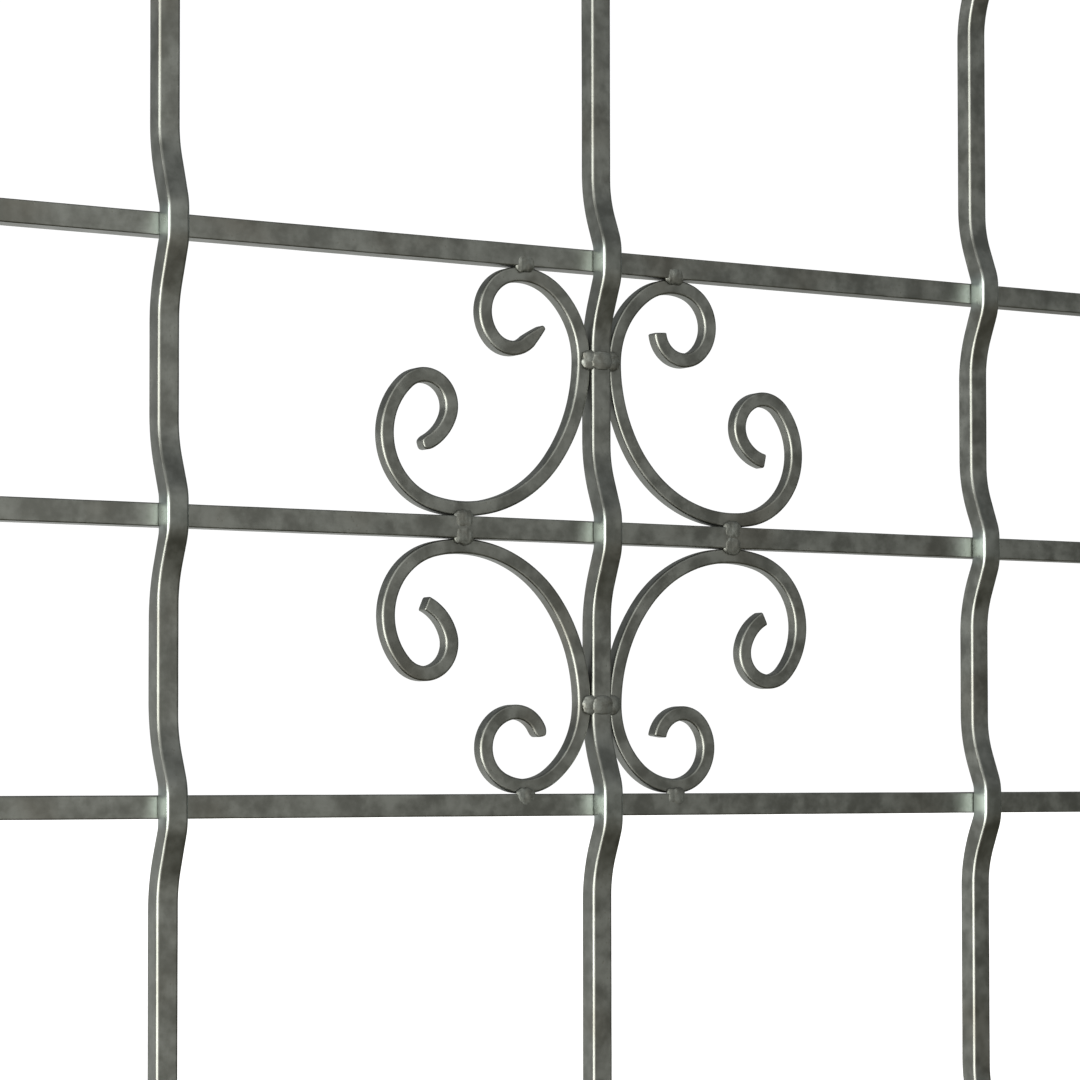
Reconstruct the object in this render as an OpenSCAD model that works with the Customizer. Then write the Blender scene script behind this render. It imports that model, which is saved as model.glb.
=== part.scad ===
// Window security grille of forged square bar: three upright bars crimped over five
// level rails, four C-scrolls round the middle of the panel, and a screw plate welded
// to each rail end. All pieces are welded, so nothing moves.
// Frame: +X along the rails, +Y into the room, +Z up. The origin is the centre of the
// panel, on the line where the centre bar crosses the middle rail.

/* [Bars] */
// Side of the square upright bars
bar_size = 12; // [8:1:20]
// Distance between neighbouring upright bars
bar_spacing = 258; // [200:1:400]
// Length of bar that stands past the outermost rails
bar_overhang = 75; // [60:1:150]
// Bevel along the edges of the bars and rails
stock_bevel = 1; // [0.5:0.1:2]

/* [Rails] */
// Side of the square rails
rail_size = 12; // [8:1:20]
// Distance between the three rails that hold the scrolls
rail_pitch = 148; // [120:1:260]
// Distance from a scroll rail to the outer rail beyond it
outer_pitch = 200; // [120:1:320]
// Length of rail from an outer bar to the wall plate
rail_reach = 129; // [60:1:200]

/* [Crimps] */
// Slope of the bar on each side of a rail, in degrees
crimp_slope = 23; // [18:1:28]
// Flat length of bar that lies over the rail
crimp_flat = 14; // [12:1:24]
// Bend radius beside the flat
crest_radius = 12; // [11:1:24]
// Bend radius where the slope meets the straight bar
foot_radius = 30; // [20:1:45]

/* [Scrolls] */
// Side of the square bar in the scrolls
scroll_size = 8; // [6:1:12]
// Bevel along the edges of the scroll bar
scroll_bevel = 1; // [0.4:0.1:1.5]
// Bend radius above the point that touches the centre bar
shoulder_radius = 47; // [40:1:54]
// Turn of the shoulder, in degrees
shoulder_turn = 50; // [40:1:60]
// Bend radius under the outer of the two rails
crown_radius = 32; // [28:1:38]
// Turn of the crown, in degrees
crown_turn = 50; // [42:1:60]
// Bend radius round the small curl
small_radius = 20; // [17:1:23]
// Turn of the small curl, in degrees
small_turn = 124; // [100:1:130]
// Bend radius at the small end
small_tip_radius = 15; // [12:1:18]
// Turn of the small end, in degrees
small_tip_turn = 126; // [90:1:135]
// Bend radius below the point that touches the centre bar
flank_radius = 91; // [80:1:105]
// Turn of the flank, in degrees
flank_turn = 36; // [28:1:44]
// Bend radius over the middle rail
belly_radius = 71; // [62:1:80]
// Turn of the belly, in degrees
belly_turn = 69; // [62:1:78]
// Bend radius round the large curl
large_radius = 37; // [33:1:41]
// Turn of the large curl, in degrees
large_turn = 121; // [110:1:128]
// Bend radius inside the large curl
inner_radius = 16; // [13:1:19]
// Turn inside the large curl, in degrees
inner_turn = 153; // [130:1:160]
// Bend radius at the large end
large_tip_radius = 25; // [18:1:32]
// Turn of the large end, in degrees
large_tip_turn = 50; // [30:1:56]

/* [Wall plates] */
// Thickness of a wall plate
plate_thickness = 5; // [3:0.5:10]
// Width of a wall plate, front to back
plate_width = 40; // [38:1:60]
// Height of a wall plate
plate_height = 80; // [70:1:110]
// Corner radius of a wall plate
plate_corner = 4; // [1:0.5:8]
// Distance between the two screw holes
screw_spacing = 50; // [40:1:60]
// Screw hole diameter
screw_hole = 9; // [5:0.5:10]

/* [Welds] */
// Leg of the beads where bars cross rails
crossing_leg = 1.5; // [1:0.5:2.5]
// Length of the beads where bars cross rails
crossing_length = 8; // [6:0.5:9]
// Leg of the beads on the scrolls
scroll_leg = 2; // [1.5:0.1:2.4]
// Length of the beads on the scrolls
scroll_bead = 10; // [6:0.5:14]
// Leg of the bead round a rail end
plate_leg = 3; // [2:0.5:5]

/* [Hidden] */
$fn = 48;
steel = [0.42, 0.43, 0.42];
bead_grey = [0.62, 0.63, 0.62];

// Largest gap between a bend and the flats that stand for it
chord_error = 0.05;
seam_depth = 0.2;
rail_half = 2 * bar_spacing / 2 + rail_reach;
outer_z = rail_pitch + outer_pitch;

// A bent bar is a list of steps: [length, 0] runs straight, and [radius, turn] bends.
// A heading of 0 points along +Z and a positive turn leans towards +X.
function bend_cuts(step) = step[1] == 0 ? 1 : ceil(abs(step[1]) / (2 * acos(1 - chord_error / step[0])));
function moved(at, step, part) = step[1] == 0
    ? [at[0] + part * step[0] * sin(at[2]), at[1] + part * step[0] * cos(at[2]), at[2]]
    : [at[0] + sign(step[1]) * step[0] * (cos(at[2]) - cos(at[2] + part * step[1])),
       at[1] + sign(step[1]) * step[0] * (sin(at[2] + part * step[1]) - sin(at[2])),
       at[2] + part * step[1]];
function joint_at(start, steps, i) = i == 0 ? start : moved(joint_at(start, steps, i - 1), steps[i - 1], 1);
function stations(start, steps) = concat([start], [
    for (i = [0 : len(steps) - 1])
        let (at = joint_at(start, steps, i), cuts = bend_cuts(steps[i]))
        for (k = [1 : cuts]) moved(at, steps[i], k / cuts)
]);
function bevelled(size, bevel) = let (a = size / 2, b = size / 2 - bevel)
    [[a, b], [b, a], [-b, a], [-a, b], [-a, -b], [-b, -a], [b, -a], [a, -b]];

// A bevelled square bar that follows a row of stations in the XZ plane
module bent_bar(row, size, bevel) {
    outline = bevelled(size, bevel);
    n = len(outline);
    last = len(row) - 1;
    points = [
        for (s = row)
            for (p = outline) [s[0] + p[0] * cos(s[2]), p[1], s[1] - p[0] * sin(s[2])]
    ];
    sides = [
        for (i = [0 : last - 1])
            for (k = [0 : n - 1])
                let (m = (k + 1) % n) [i * n + k, (i + 1) * n + k, (i + 1) * n + m, i * n + m]
    ];
    near = [for (k = [0 : n - 1]) k];
    far = [for (k = [n - 1 : -1 : 0]) last * n + k];
    polyhedron(points = points, faces = concat([near, far], sides), convexity = 8);
}

// A straight bevelled bar of a given length, centred, along +Z
module stock(size, bevel, length) {
    linear_extrude(height = length, center = true) polygon(bevelled(size, bevel));
}

module level_stock(size, bevel, length) {
    rotate([0, 90, 0]) stock(size, bevel, length);
}

// A thin block over the plane where two bars touch, so that no bead is left between them
module seam(width, depth, length) {
    cube([width, depth, length], center = true);
}

// Upright bars: each crimp lifts the bar by half its own size and half the rail's
crimp_depth = (bar_size + rail_size) / 2;
crimp_ramp = (crimp_depth - (crest_radius + foot_radius) * (1 - cos(crimp_slope))) / sin(crimp_slope);
crimp_half = crimp_flat / 2 + (crest_radius + foot_radius) * sin(crimp_slope) + crimp_ramp * cos(crimp_slope);
crimp = [
    [foot_radius, crimp_slope],
    [crimp_ramp, 0],
    [crest_radius, -crimp_slope],
    [crimp_flat, 0],
    [crest_radius, -crimp_slope],
    [crimp_ramp, 0],
    [foot_radius, crimp_slope]
];
bar_steps = concat(
    [[bar_overhang - crimp_half, 0]], crimp,
    [[outer_pitch - 2 * crimp_half, 0]], crimp,
    [[rail_pitch - 2 * crimp_half, 0]], crimp,
    [[rail_pitch - 2 * crimp_half, 0]], crimp,
    [[outer_pitch - 2 * crimp_half, 0]], crimp,
    [[bar_overhang - crimp_half, 0]]
);

module upright(column) {
    color(steel)
        translate([column * bar_spacing, 0, 0])
            rotate([0, 0, -90])
                bent_bar(stations([0, -outer_z - bar_overhang, 0], bar_steps), bar_size, stock_bevel);
}

module rail(z) {
    color(steel) translate([0, 0, z]) level_stock(rail_size, stock_bevel, 2 * rail_half);
}

// Scrolls: the bends are scaled together so that a scroll just fills the space between
// its two rails, and it touches the side of the centre bar at contact_z.
contact_x = (bar_size + scroll_size) / 2;
rise_up = shoulder_radius * sin(shoulder_turn) + crown_radius * (1 - sin(shoulder_turn));
rise_down = flank_radius * sin(flank_turn) + belly_radius * (1 - sin(flank_turn));
scroll_low = (rail_size + scroll_size) / 2;
scroll_high = rail_pitch - scroll_low;
fit = (scroll_high - scroll_low) / (rise_up + rise_down);
contact_z = scroll_low + fit * rise_down;
crown_x = contact_x + fit * (shoulder_radius * (1 - cos(shoulder_turn)) + crown_radius * cos(shoulder_turn));
belly_x = contact_x + fit * (flank_radius * (1 - cos(flank_turn)) + belly_radius * cos(flank_turn));
small_end = stations([contact_x, contact_z, 0], [
    [fit * shoulder_radius, shoulder_turn],
    [fit * crown_radius, crown_turn],
    [fit * small_radius, small_turn],
    [fit * small_tip_radius, small_tip_turn]
]);
large_end = stations([contact_x, contact_z, 180], [
    [fit * flank_radius, -flank_turn],
    [fit * belly_radius, -belly_turn],
    [fit * large_radius, -large_turn],
    [fit * inner_radius, -inner_turn],
    [fit * large_tip_radius, -large_tip_turn]
]);
scroll_row = concat(
    [for (i = [len(small_end) - 1 : -1 : 1]) [small_end[i][0], small_end[i][1], small_end[i][2] + 180]],
    large_end
);

// side is -1 for left and 1 for right; level is -1 below the middle rail and 1 above it
module quadrant(side, level) {
    mirror([side < 0 ? 1 : 0, 0, 0]) mirror([0, 0, level < 0 ? 1 : 0]) children();
}

module scroll(side, level) {
    color(steel) quadrant(side, level) bent_bar(scroll_row, scroll_size, scroll_bevel);
}

module wall_plate(side, z) {
    inner = [plate_height - 2 * plate_corner, plate_width - 2 * plate_corner];
    color(steel)
        translate([side * (rail_half + plate_thickness / 2), 0, z])
            rotate([0, 90, 0])
                linear_extrude(height = plate_thickness, center = true)
                    difference() {
                        union() {
                            square([plate_height, inner[1]], center = true);
                            square([inner[0], plate_width], center = true);
                            for (x = [-1, 1]) {
                                for (y = [-1, 1]) {
                                    translate([x * inner[0] / 2, y * inner[1] / 2]) circle(r = plate_corner);
                                }
                            }
                        }
                        for (x = [-1, 1]) {
                            translate([x * screw_spacing / 2, 0]) circle(d = screw_hole);
                        }
                    }
}

// Two level beads at each crossing, hidden behind the bar on the rail's upper and lower edges
module crossing_welds(z) {
    for (column = [-1, 0, 1]) {
        for (edge = [-1, 1]) {
            color(bead_grey)
                translate([column * bar_spacing, 0, z])
                    difference() {
                        translate([0, -rail_size / 2, edge * rail_size / 2])
                            rotate([0, 90, 0]) cylinder(r = crossing_leg, h = crossing_length, center = true);
                        translate([0, -crimp_depth, 0]) stock(bar_size, stock_bevel, 3 * crossing_length);
                        level_stock(rail_size, stock_bevel, 3 * bar_size);
                        translate([0, -rail_size / 2, 0])
                            seam(bar_size - 2 * stock_bevel, seam_depth, rail_size - 2 * stock_bevel);
                    }
        }
    }
}

// A level bead on the front ledge where a scroll touches a rail, for the rail below it
module ledge_bead(x, z) {
    translate([x, 0, z])
        difference() {
            translate([0, -scroll_size / 2, rail_size / 2])
                rotate([0, 90, 0]) cylinder(r = scroll_leg, h = scroll_bead, center = true);
            level_stock(rail_size, stock_bevel, 2 * scroll_bead);
            translate([0, 0, scroll_low]) level_stock(scroll_size, scroll_bevel, 2 * scroll_bead);
            translate([0, 0, rail_size / 2])
                seam(2 * scroll_bead, scroll_size - 2 * scroll_bevel, seam_depth);
        }
}

module scroll_welds(side, level) {
    color(bead_grey) quadrant(side, level) {
        ledge_bead(belly_x, 0);
        translate([0, 0, rail_pitch]) mirror([0, 0, 1]) ledge_bead(crown_x, 0);
    }
}

// Two upright beads that tie a pair of scrolls to the front edges of the centre bar
module centre_weld(level) {
    for (side = [-1, 1]) {
        color(bead_grey) quadrant(side, level)
            translate([0, 0, contact_z])
                difference() {
                    translate([bar_size / 2, -scroll_size / 2, 0])
                        cylinder(r = scroll_leg, h = scroll_bead, center = true);
                    stock(bar_size, stock_bevel, 2 * scroll_bead);
                    translate([contact_x, 0, 0]) stock(scroll_size, scroll_bevel, 2 * scroll_bead);
                    translate([bar_size / 2, 0, 0])
                        seam(seam_depth, scroll_size - 2 * scroll_bevel, 2 * scroll_bead);
                }
    }
}

// A cone-shaped bead all round each rail end
module plate_welds(side) {
    reach = rail_size * sqrt(2) / 2;
    for (z = [-outer_z, -rail_pitch, 0, rail_pitch, outer_z]) {
        color(bead_grey)
            translate([side * rail_half, 0, z])
                rotate([0, -90 * side, 0])
                    difference() {
                        cylinder(r1 = reach + plate_leg, r2 = reach, h = plate_leg);
                        stock(rail_size, stock_bevel, 4 * plate_leg);
                    }
    }
}

upright(-1);  // bar_left
upright(0);  // bar_centre
upright(1);  // bar_right
rail(outer_z);  // rail_top
rail(rail_pitch);  // rail_upper
rail(0);  // rail_middle
rail(-rail_pitch);  // rail_lower
rail(-outer_z);  // rail_bottom
scroll(-1, 1);  // scroll_upper_left
scroll(1, 1);  // scroll_upper_right
scroll(-1, -1);  // scroll_lower_left
scroll(1, -1);  // scroll_lower_right
wall_plate(-1, outer_z);  // plate_top_left
wall_plate(-1, rail_pitch);  // plate_upper_left
wall_plate(-1, 0);  // plate_middle_left
wall_plate(-1, -rail_pitch);  // plate_lower_left
wall_plate(-1, -outer_z);  // plate_bottom_left
wall_plate(1, outer_z);  // plate_top_right
wall_plate(1, rail_pitch);  // plate_upper_right
wall_plate(1, 0);  // plate_middle_right
wall_plate(1, -rail_pitch);  // plate_lower_right
wall_plate(1, -outer_z);  // plate_bottom_right
crossing_welds(outer_z);  // crossing_welds_top
crossing_welds(rail_pitch);  // crossing_welds_upper
crossing_welds(0);  // crossing_welds_middle
crossing_welds(-rail_pitch);  // crossing_welds_lower
crossing_welds(-outer_z);  // crossing_welds_bottom
scroll_welds(-1, 1);  // scroll_welds_upper_left
scroll_welds(1, 1);  // scroll_welds_upper_right
scroll_welds(-1, -1);  // scroll_welds_lower_left
scroll_welds(1, -1);  // scroll_welds_lower_right
centre_weld(1);  // centre_weld_upper
centre_weld(-1);  // centre_weld_lower
plate_welds(-1);  // plate_welds_left
plate_welds(1);  // plate_welds_right
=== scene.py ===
"""Looks for the window security grille: forged bars, scrolls, weld beads, studio and camera."""

import logging
import math
from dataclasses import dataclass, field
from enum import Enum
from typing import ClassVar, Sequence

import bpy
from mathutils import Matrix, Vector, noise


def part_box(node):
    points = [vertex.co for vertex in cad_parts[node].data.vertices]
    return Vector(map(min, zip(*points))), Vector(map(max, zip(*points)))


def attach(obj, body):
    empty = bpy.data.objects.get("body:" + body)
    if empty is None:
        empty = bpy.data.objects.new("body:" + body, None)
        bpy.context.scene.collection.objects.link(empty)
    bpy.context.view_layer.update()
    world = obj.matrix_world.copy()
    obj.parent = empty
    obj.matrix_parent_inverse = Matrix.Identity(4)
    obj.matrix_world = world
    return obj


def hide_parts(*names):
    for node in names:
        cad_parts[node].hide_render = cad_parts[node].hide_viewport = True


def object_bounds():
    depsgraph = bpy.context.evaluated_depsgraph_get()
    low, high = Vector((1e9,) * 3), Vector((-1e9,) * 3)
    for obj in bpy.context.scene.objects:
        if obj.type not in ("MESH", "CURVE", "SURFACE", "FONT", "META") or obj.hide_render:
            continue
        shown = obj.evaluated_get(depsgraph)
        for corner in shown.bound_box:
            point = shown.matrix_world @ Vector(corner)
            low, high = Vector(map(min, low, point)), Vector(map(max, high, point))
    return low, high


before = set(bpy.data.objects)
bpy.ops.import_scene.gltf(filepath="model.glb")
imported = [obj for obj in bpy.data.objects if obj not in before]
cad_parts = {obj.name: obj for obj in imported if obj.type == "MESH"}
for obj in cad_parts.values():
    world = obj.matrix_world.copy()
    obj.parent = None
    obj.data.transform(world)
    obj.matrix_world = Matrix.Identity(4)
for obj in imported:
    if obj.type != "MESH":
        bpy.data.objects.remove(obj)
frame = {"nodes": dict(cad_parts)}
cad_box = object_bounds()

log = logging.getLogger("grille")
MM = 0.001
BODY = "root"
RAIL_LEVELS = ("bottom", "lower", "middle", "upper", "top")
RAIL_NAMES = tuple(f"rail_{level}" for level in RAIL_LEVELS)
BAR_NAMES = ("bar_left", "bar_centre", "bar_right")

Point = tuple[float, float, float]
Pair = tuple[float, float]
Node = bpy.types.Node
Socket = bpy.types.NodeSocket
Material = bpy.types.Material
Piece = bpy.types.Object


class Side(Enum):
    """Which half of the panel a piece belongs to, seen from outside."""

    LEFT = -1
    RIGHT = 1


class Level(Enum):
    """Whether a piece sits above or below the middle rail."""

    LOWER = -1
    UPPER = 1


class Tip(Enum):
    """How the end of a scroll was left."""

    SAWN = "sawn"
    ROUNDED = "rounded"
    POINTED = "pointed"


def ends(node: str) -> tuple[Vector, Vector]:
    """Give the lowest and highest corners of a CAD node's box."""
    low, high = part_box(node)
    return Vector(low), Vector(high)


def middle(node: str) -> Vector:
    """Give the centre of a CAD node's box."""
    low, high = ends(node)
    return (low + high) / 2


def smooth(value: float) -> float:
    """Ease a value from 0 to 1."""
    t = min(1.0, max(0.0, value))
    return t * t * (3.0 - 2.0 * t)


# --- Node helpers ---


class NodeGraph:
    """A thin wrapper that adds and links shader nodes."""

    @classmethod
    def material(cls, name: str) -> tuple[Material, "NodeGraph"]:
        """Start a node material.

        Args:
            name: the material's name.

        Returns:
            The material and its graph.
        """
        made = bpy.data.materials.new(name)
        made.use_nodes = True
        return made, cls(made.node_tree)

    def __init__(self, tree: bpy.types.NodeTree) -> None:
        """Clear a tree and get ready to fill it.

        Args:
            tree: the node tree to fill.
        """
        self.tree = tree
        tree.nodes.clear()

    def add(self, kind: str, inputs: dict[str | int, object] | None = None, **props: object) -> Node:
        """Add one node.

        Args:
            kind: the node's type name.
            inputs: socket values or output sockets to link, by socket name or number.
            **props: plain properties of the node.

        Returns:
            The new node.
        """
        node = self.tree.nodes.new(kind)
        for key, value in props.items():
            setattr(node, key, value)
        for key, value in (inputs or {}).items():
            if isinstance(value, Socket):
                self.tree.links.new(value, node.inputs[key])
            else:
                node.inputs[key].default_value = value
        return node

    def level(
        self, factor: Socket, low: float, high: float, to_low: float = 0.0, to_high: float = 1.0
    ) -> Socket:
        """Map a value from one range to another with eased ends.

        Args:
            factor: the value.
            low: start of the range it comes from.
            high: end of the range it comes from.
            to_low: start of the range it goes to.
            to_high: end of the range it goes to.

        Returns:
            The mapped value's socket.
        """
        values = {0: factor, 1: low, 2: high, 3: to_low, 4: to_high}
        node = self.add("ShaderNodeMapRange", values, interpolation_type="SMOOTHSTEP")
        return node.outputs[0]

    def maths(self, operation: str, a: object, b: object = 0.0) -> Socket:
        """Add a maths node and return its result socket."""
        return self.add("ShaderNodeMath", {0: a, 1: b}, operation=operation).outputs[0]

    def mix(self, factor: object, a: object, b: object, blend: str = "MIX") -> Socket:
        """Mix two colours.

        Args:
            factor: amount of the second colour.
            a: first colour or socket.
            b: second colour or socket.
            blend: how the two are combined.

        Returns:
            The mixed colour's socket.
        """
        node = self.add("ShaderNodeMix", {0: factor, 6: a, 7: b}, data_type="RGBA", blend_type=blend)
        return node.outputs[2]

    def metal(self, base: Socket, rough: Socket, height: Socket, pure: float, bump: Pair) -> None:
        """Close a metal material with its shader and output.

        Args:
            base: the colour.
            rough: the roughness.
            height: the surface's unevenness.
            pure: how metallic it is.
            bump: strength and depth of the unevenness.
        """
        lumps = self.add("ShaderNodeBump", {"Strength": bump[0], "Distance": bump[1], "Height": height})
        values = {"Base Color": base, "Metallic": pure, "Roughness": rough, "Normal": lumps.outputs[0]}
        shader = self.add("ShaderNodeBsdfPrincipled", values)
        self.add("ShaderNodeOutputMaterial", {0: shader.outputs[0]})

    def noise(self, place: Socket, scale: float, detail: float, rough: float = 0.55) -> Socket:
        """Add a noise texture and return its value socket."""
        values = {"Vector": place, "Scale": scale, "Detail": detail, "Roughness": rough}
        return self.add("ShaderNodeTexNoise", values).outputs[0]


# --- Finishes ---


@dataclass(frozen=True)
class SteelFinish:
    """Dull mill steel: mottled grey with drawn grain, smoother where it was pressed, with a painted
    blue-grey reflection laid there.

    Attributes:
        name: the material's name.
        dark: colour of the mottle's dark parts.
        light: colour of its light parts.
        pressed: colour of the painted reflection, a lighter blue-grey laid where a press has worked the
            bar.
        rust: colour of the brownish patches and pits.
        roughness: how dull the steel is.
        grain: how dark the drawn streaks are.
        drawn: streaks per metre round the bar and along it.
        mottle, patches, tooth, pits: how many of each per metre.
        relief: depth of the surface's unevenness.
    """

    name: str
    dark: Point = (0.187, 0.192, 0.174)
    light: Point = (0.284, 0.294, 0.273)
    # Painted reflection: a lighter blue-grey sheen laid on the pressed steel, not the steel's own colour.
    pressed: Point = (0.420, 0.480, 0.460)
    rust: Point = (0.155, 0.141, 0.114)
    roughness: float = 0.40
    grain: float = 0.10
    drawn: Point = (700.0, 60.0, 1.0)
    mottle: float = 75.0
    patches: float = 16.0
    tooth: float = 1100.0
    pits: float = 300.0
    relief: float = 0.12 * MM

    def build(self) -> Material:
        """Make the node material.

        Returns:
            The finished material.
        """
        made, g = NodeGraph.material(self.name)
        place = g.add("ShaderNodeTexCoord").outputs["Object"]
        run = g.add("ShaderNodeUVMap", uv_map="run").outputs[0]
        # Mask of the pressed steel: it smooths the roughness and lays the painted blue-grey reflection.
        press_sheen = g.add("ShaderNodeAttribute", attribute_name="pressed").outputs["Fac"]
        drawn = g.add("ShaderNodeMapping", {0: run, 3: self.drawn}).outputs[0]
        streaks = g.noise(drawn, 1.0, 4.0, 0.6)
        cloud = g.noise(place, self.mottle, 5.0, 0.6)
        broad = g.noise(place, self.patches, 3.0, 0.5)
        fine = g.noise(place, self.tooth, 3.0, 0.6)
        specks = g.add("ShaderNodeTexVoronoi", {"Vector": place, "Scale": self.pits}).outputs["Distance"]
        pits = g.maths("MULTIPLY", g.level(specks, 0.06, 0.22, 1.0, 0.0), g.level(cloud, 0.5, 0.62))
        base = g.mix(g.level(cloud, 0.32, 0.68), (*self.dark, 1.0), (*self.light, 1.0))
        base = g.mix(g.level(broad, 0.52, 0.72, 0.0, 0.45), base, (*self.rust, 1.0))
        base = g.mix(g.level(streaks, 0.35, 0.65, 0.0, self.grain), base, (*self.dark, 1.0))
        base = g.mix(g.maths("MULTIPLY", pits, 0.35), base, (*self.rust, 1.0))
        # Painted reflection: lighter blue-grey sheen mixed into the colour where the steel was pressed,
        # broken up by the mottle.
        sheen_patch = g.maths("MULTIPLY", press_sheen, g.level(cloud, 0.25, 0.6, 0.55, 1.0))
        base = g.mix(sheen_patch, base, (*self.pressed, 1.0))
        rough = g.level(cloud, 0.3, 0.7, self.roughness - 0.05, self.roughness + 0.07)
        rough = g.maths("ADD", rough, g.maths("MULTIPLY", g.maths("SUBTRACT", fine, 0.5), 0.12))
        rough = g.maths("SUBTRACT", rough, g.maths("MULTIPLY", press_sheen, 0.10))
        height = g.maths("ADD", g.maths("MULTIPLY", streaks, 0.25), g.maths("MULTIPLY", cloud, 0.7))
        height = g.maths("ADD", height, g.maths("MULTIPLY", fine, 0.12))
        height = g.maths("SUBTRACT", height, g.maths("MULTIPLY", pits, 0.5))
        g.metal(base, rough, height, 1.0, (0.5, self.relief))
        return made


@dataclass(frozen=True)
class BeadFinish:
    """Weld metal: rough grey with darker heat stains and a fine ripple.

    Attributes:
        name: the material's name.
        metal: colour of the clean metal.
        stain: colour of the stains.
        roughness: how dull it is.
        mottle, tooth: stains and fine grains per metre.
        relief: depth of the surface's unevenness.
    """

    name: str
    metal: Point = (0.232, 0.243, 0.224)
    stain: Point = (0.180, 0.182, 0.162)
    roughness: float = 0.50
    mottle: float = 240.0
    tooth: float = 1500.0
    relief: float = 0.13 * MM

    def build(self) -> Material:
        """Make the node material.

        Returns:
            The finished material.
        """
        made, g = NodeGraph.material(self.name)
        place = g.add("ShaderNodeTexCoord").outputs["Object"]
        cloud = g.noise(place, self.mottle, 5.0, 0.65)
        fine = g.noise(place, self.tooth, 3.0, 0.6)
        base = g.mix(g.level(cloud, 0.40, 0.62), (*self.metal, 1.0), (*self.stain, 1.0))
        rough = g.level(fine, 0.3, 0.7, self.roughness - 0.08, self.roughness + 0.16)
        height = g.maths("ADD", g.maths("MULTIPLY", cloud, 0.8), g.maths("MULTIPLY", fine, 0.3))
        g.metal(base, rough, height, 0.95, (0.7, self.relief))
        return made


# --- Meshes ---


@dataclass
class Shape:
    """One mesh while it is being put together.

    Attributes:
        verts: its points.
        faces: its faces, as numbers of points.
        runs: place round and along the bar for each corner of each face.
        pressed: how far the steel was pressed at each point; it sets the smoother roughness and the
            painted blue-grey reflection.
    """

    verts: list[Point] = field(default_factory=list)
    faces: list[Sequence[int]] = field(default_factory=list)
    runs: list[Pair] = field(default_factory=list)
    pressed: list[float] = field(default_factory=list)

    def skin(
        self,
        rings: Sequence[Sequence[Point]],
        along: Sequence[float],
        press_sheen: Sequence[Sequence[float]] | None = None,
        turned: bool = False,
    ) -> None:
        """Add a closed tube over rings of equal length, with a cap on each end.

        Args:
            rings: one loop of points per station.
            along: distance along the tube at each station.
            press_sheen: how far the steel was pressed at each point, from 0 to 1; it sets the smoother
                roughness and the painted blue-grey reflection.
            turned: whether the faces have to be turned over.
        """
        start = len(self.verts)
        count = len(rings[0])
        around = [0.0]
        for k in range(count):
            around.append(around[-1] + math.dist(rings[0][k], rings[0][(k + 1) % count]))
        for number, ring in enumerate(rings):
            self.verts.extend(ring)
            self.pressed.extend(press_sheen[number] if press_sheen else [0.0] * count)
        quads: list[tuple[Sequence[int], Sequence[Pair]]] = []
        for i in range(len(rings) - 1):
            for k in range(count):
                m = (k + 1) % count
                corners = (i * count + k, i * count + m, (i + 1) * count + m, (i + 1) * count + k)
                grain = (
                    (around[k], along[i]), (around[k + 1], along[i]),
                    (around[k + 1], along[i + 1]), (around[k], along[i + 1]),
                )
                quads.append((corners, grain))
        first = tuple(range(count - 1, -1, -1))
        quads.append((first, [(around[k], along[0] - 0.001 * (k % 7)) for k in first]))
        last = tuple((len(rings) - 1) * count + k for k in range(count))
        quads.append((last, [(around[k % count], along[-1] + 0.001 * (k % 7)) for k in range(count)]))
        for corners, grain in quads:
            order = range(len(corners) - 1, -1, -1) if turned else range(len(corners))
            self.faces.append(tuple(start + corners[k] for k in order))
            self.runs.extend(grain[k] for k in order)

    def finish(self, name: str, material: Material, slot: str, *nodes: str) -> Piece:
        """Turn the points and faces into an object that stands for CAD nodes.

        Args:
            name: the object's name.
            material: its material.
            slot: not used.
            *nodes: the CAD nodes that it stands for.

        Returns:
            The new object, riding on the panel.
        """
        mesh = bpy.data.meshes.new(name)
        mesh.from_pydata(self.verts, [], self.faces)
        layer = mesh.uv_layers.new(name="run")
        layer.data.foreach_set("uv", [value for pair in self.runs for value in pair])
        press_sheen = mesh.attributes.new("pressed", "FLOAT", "POINT")
        press_sheen.data.foreach_set("value", self.pressed)
        mesh.shade_smooth()
        mesh.update()
        made = bpy.data.objects.new(name, mesh)
        bpy.context.scene.collection.objects.link(made)
        mesh.materials.append(material)
        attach(made, BODY)
        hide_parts(*nodes)
        return made


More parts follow.
